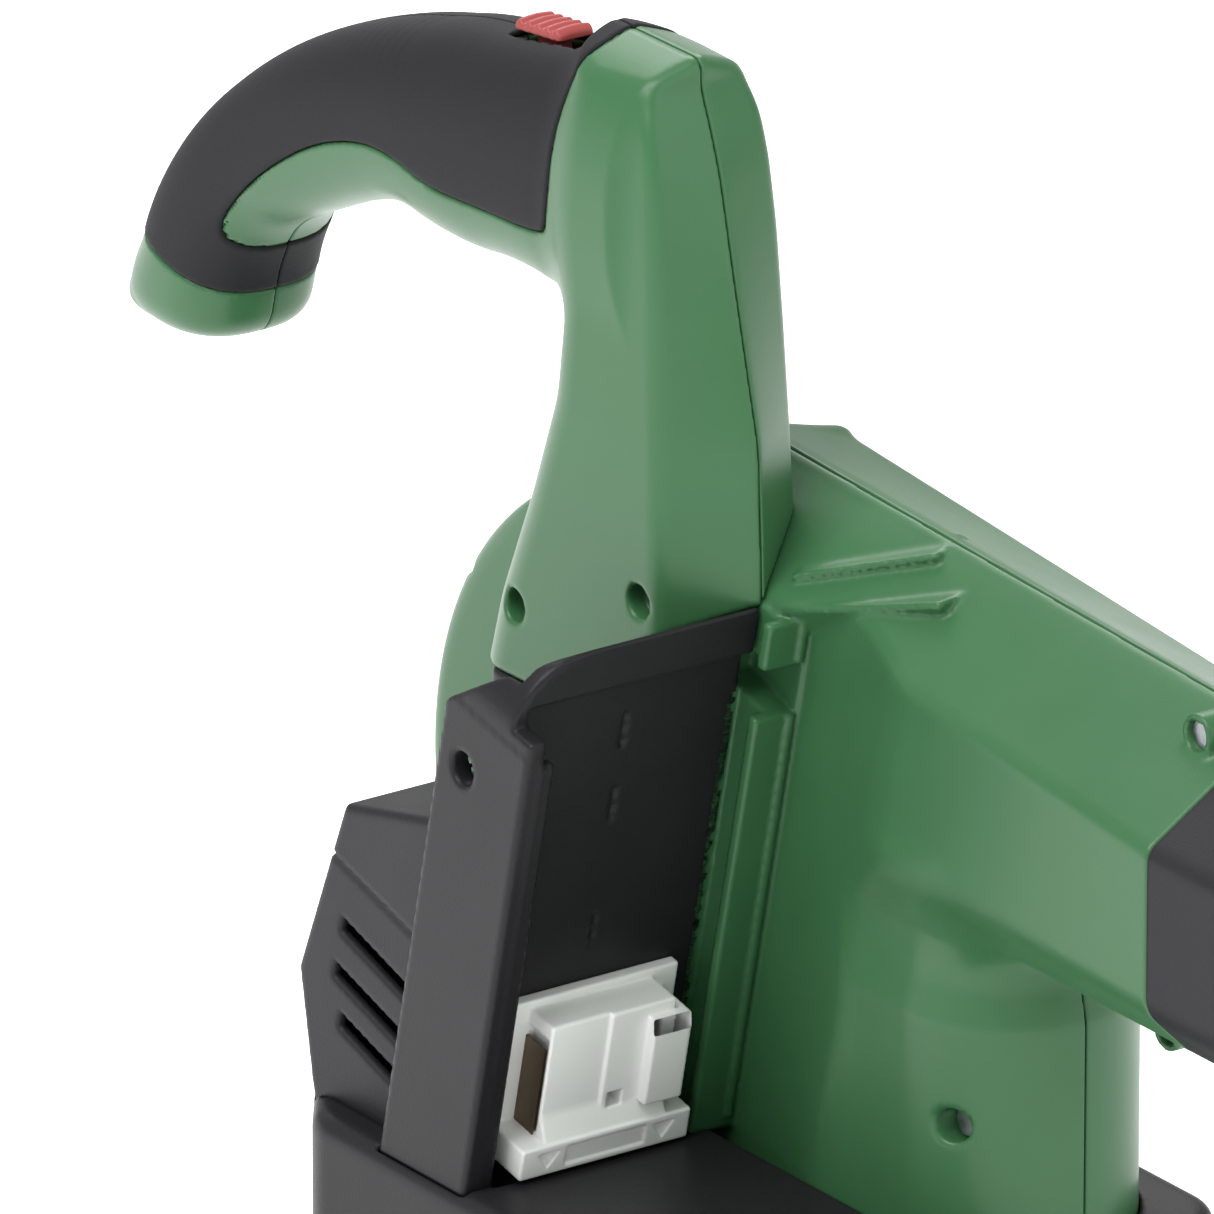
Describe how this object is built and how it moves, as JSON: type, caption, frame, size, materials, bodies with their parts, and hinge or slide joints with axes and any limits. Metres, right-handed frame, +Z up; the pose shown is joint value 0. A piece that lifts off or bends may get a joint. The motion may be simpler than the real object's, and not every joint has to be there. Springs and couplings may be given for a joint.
{
  "type": "leaf blower",
  "caption": "Hand-held cordless blower with curved rear handle, side battery bay, centrifugal fan housing and long round air tube.",
  "frame": {"origin": "on the surface the base stands on, in the plane where the two fan housing halves meet, 12 mm ahead of the fan's axis", "axes": "+X forward along the air tube, +Y to the user's left, +Z up"},
  "size_m": [0.9032, 0.14, 0.2976],
  "materials": {
    "black_parts": "satin",
    "black_plastic": "fine grain",
    "board": "satin",
    "brass": "plain",
    "carbon": "dull",
    "cream_plastic": "satin",
    "green_plastic": "satin",
    "lead_black": "satin",
    "lead_red": "satin",
    "magnet": "dull",
    "red_plastic": "satin",
    "soft_grip": "soft matt",
    "steel": "plain"
  },
  "bodies": {
    "machine": {"base_foot": "black_plastic", "bay_frame": "black_plastic", "bearing_front": "steel", "bearing_rear": "steel", "board_components": "black_parts", "body_screws": "steel", "body_shell_left": "green_plastic", "body_shell_right": "green_plastic", "carbon_brushes": "carbon", "column_screw": "steel", "control_board": "board", "field_magnets": "magnet", "grille_screws": "steel", "grip_cover_left": "soft_grip", "grip_cover_right": "soft_grip", "grip_screws": "steel", "handle_shell_left": "green_plastic", "handle_shell_right": "green_plastic", "intake_grille": "black_plastic", "motor_bracket": "steel", "motor_bracket_screws": "steel", "motor_can": "steel", "motor_cover": "black_plastic", "motor_end_bell": "black_plastic", "motor_lead_negative": "lead_black", "motor_lead_positive": "lead_red", "motor_terminals": "brass", "neck_screws": "steel", "power_contact_blades": "brass", "power_switch": "black_plastic", "rubber_feet": "soft_grip", "signal_contact": "brass", "terminal_block": "cream_plastic"},
    "fan_rotor": {"motor_shaft": "steel", "rotor_core": "steel", "commutator": "brass", "impeller": "black_plastic", "fan_nut": "steel"},
    "power_slider": {"switch_slider": "red_plastic"},
    "rear_tube": {"tube_rear": "black_plastic"},
    "front_nozzle": {"tube_nozzle": "black_plastic"}
  },
  "joints": [
    {"name": "fan_spin", "type": "hinge", "parent": "machine", "child": "fan_rotor", "pos_m": [-0.012, 0, 0.092], "axis": [0, 1, 0], "continuous": true},
    {"name": "switch_slide", "type": "slide", "parent": "machine", "child": "power_slider", "axis": [0.9945, 0, 0.1045], "range_m": [0, 0.008]},
    {"name": "tube_pull_off", "type": "slide", "parent": "machine", "child": "rear_tube", "axis": [1, 0, 0], "range_m": [0, 0.04]},
    {"name": "nozzle_pull_off", "type": "slide", "parent": "rear_tube", "child": "front_nozzle", "axis": [0.9976, 0, -0.0698], "range_m": [0, 0.04]}
  ]
}
